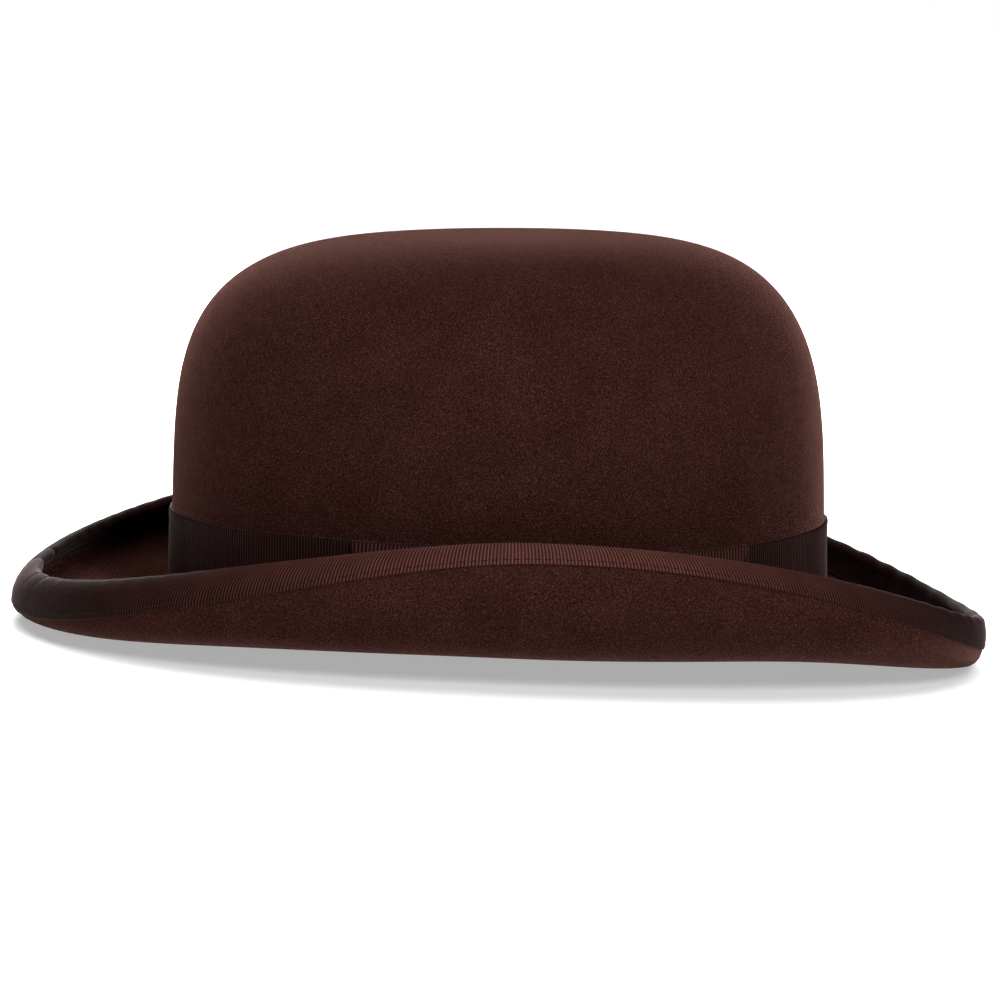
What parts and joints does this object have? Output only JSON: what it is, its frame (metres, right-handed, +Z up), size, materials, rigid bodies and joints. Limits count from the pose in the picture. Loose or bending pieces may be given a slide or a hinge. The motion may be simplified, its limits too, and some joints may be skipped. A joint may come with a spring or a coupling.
{
  "type": "bowler hat",
  "caption": "Hard round-crowned felt hat with a rolled, ribbon-bound brim, a ribbon band with a side bow, and an oval head opening.",
  "frame": {"origin": "middle of the hat's length and width, on the level that its brim rests on", "axes": "+Z up through the crown, +Y towards the rear of the brim, -Y towards the front, +X towards the wearer's left, where the bow is"},
  "size_m": [0.2366, 0.3109, 0.1317],
  "materials": {
    "wool_felt": "soft matt wool felt with a short nap",
    "binding_ribbon": "ribbed grosgrain ribbon, low sheen",
    "band_grosgrain": "ribbed grosgrain ribbon, low sheen",
    "sewing_thread": "twisted sewing thread",
    "sweatband_leather": "smooth grained leather, semi-matt",
    "reed_plastic": "extruded plastic reed",
    "tape_cloth": "plain woven tape",
    "small_bow_ribbon": "satin ribbon",
    "lining_satin": "satin weave with a soft gloss",
    "tag_cloth": "plain woven cloth tag, blank"
  },
  "bodies": {
    "root": {"felt_body": "wool_felt", "brim_binding": "binding_ribbon", "binding_thread": "sewing_thread", "band_ribbon": "band_grosgrain", "band_tacks": "sewing_thread", "bow_front_loop": "band_grosgrain", "bow_rear_loop": "band_grosgrain", "bow_knot": "band_grosgrain", "bow_tacks": "sewing_thread", "sweatband": "sweatband_leather", "sweatband_stitches": "sewing_thread", "sweatband_reed": "reed_plastic", "reed_tape": "tape_cloth", "sweatband_seam_tape": "tape_cloth", "sweatband_bow_left": "small_bow_ribbon", "sweatband_bow_right": "small_bow_ribbon", "sweatband_bow_knot": "small_bow_ribbon", "size_tag": "tag_cloth", "lining_side": "lining_satin", "lining_tip": "lining_satin", "lining_piping": "lining_satin"}
  },
  "joints": []
}
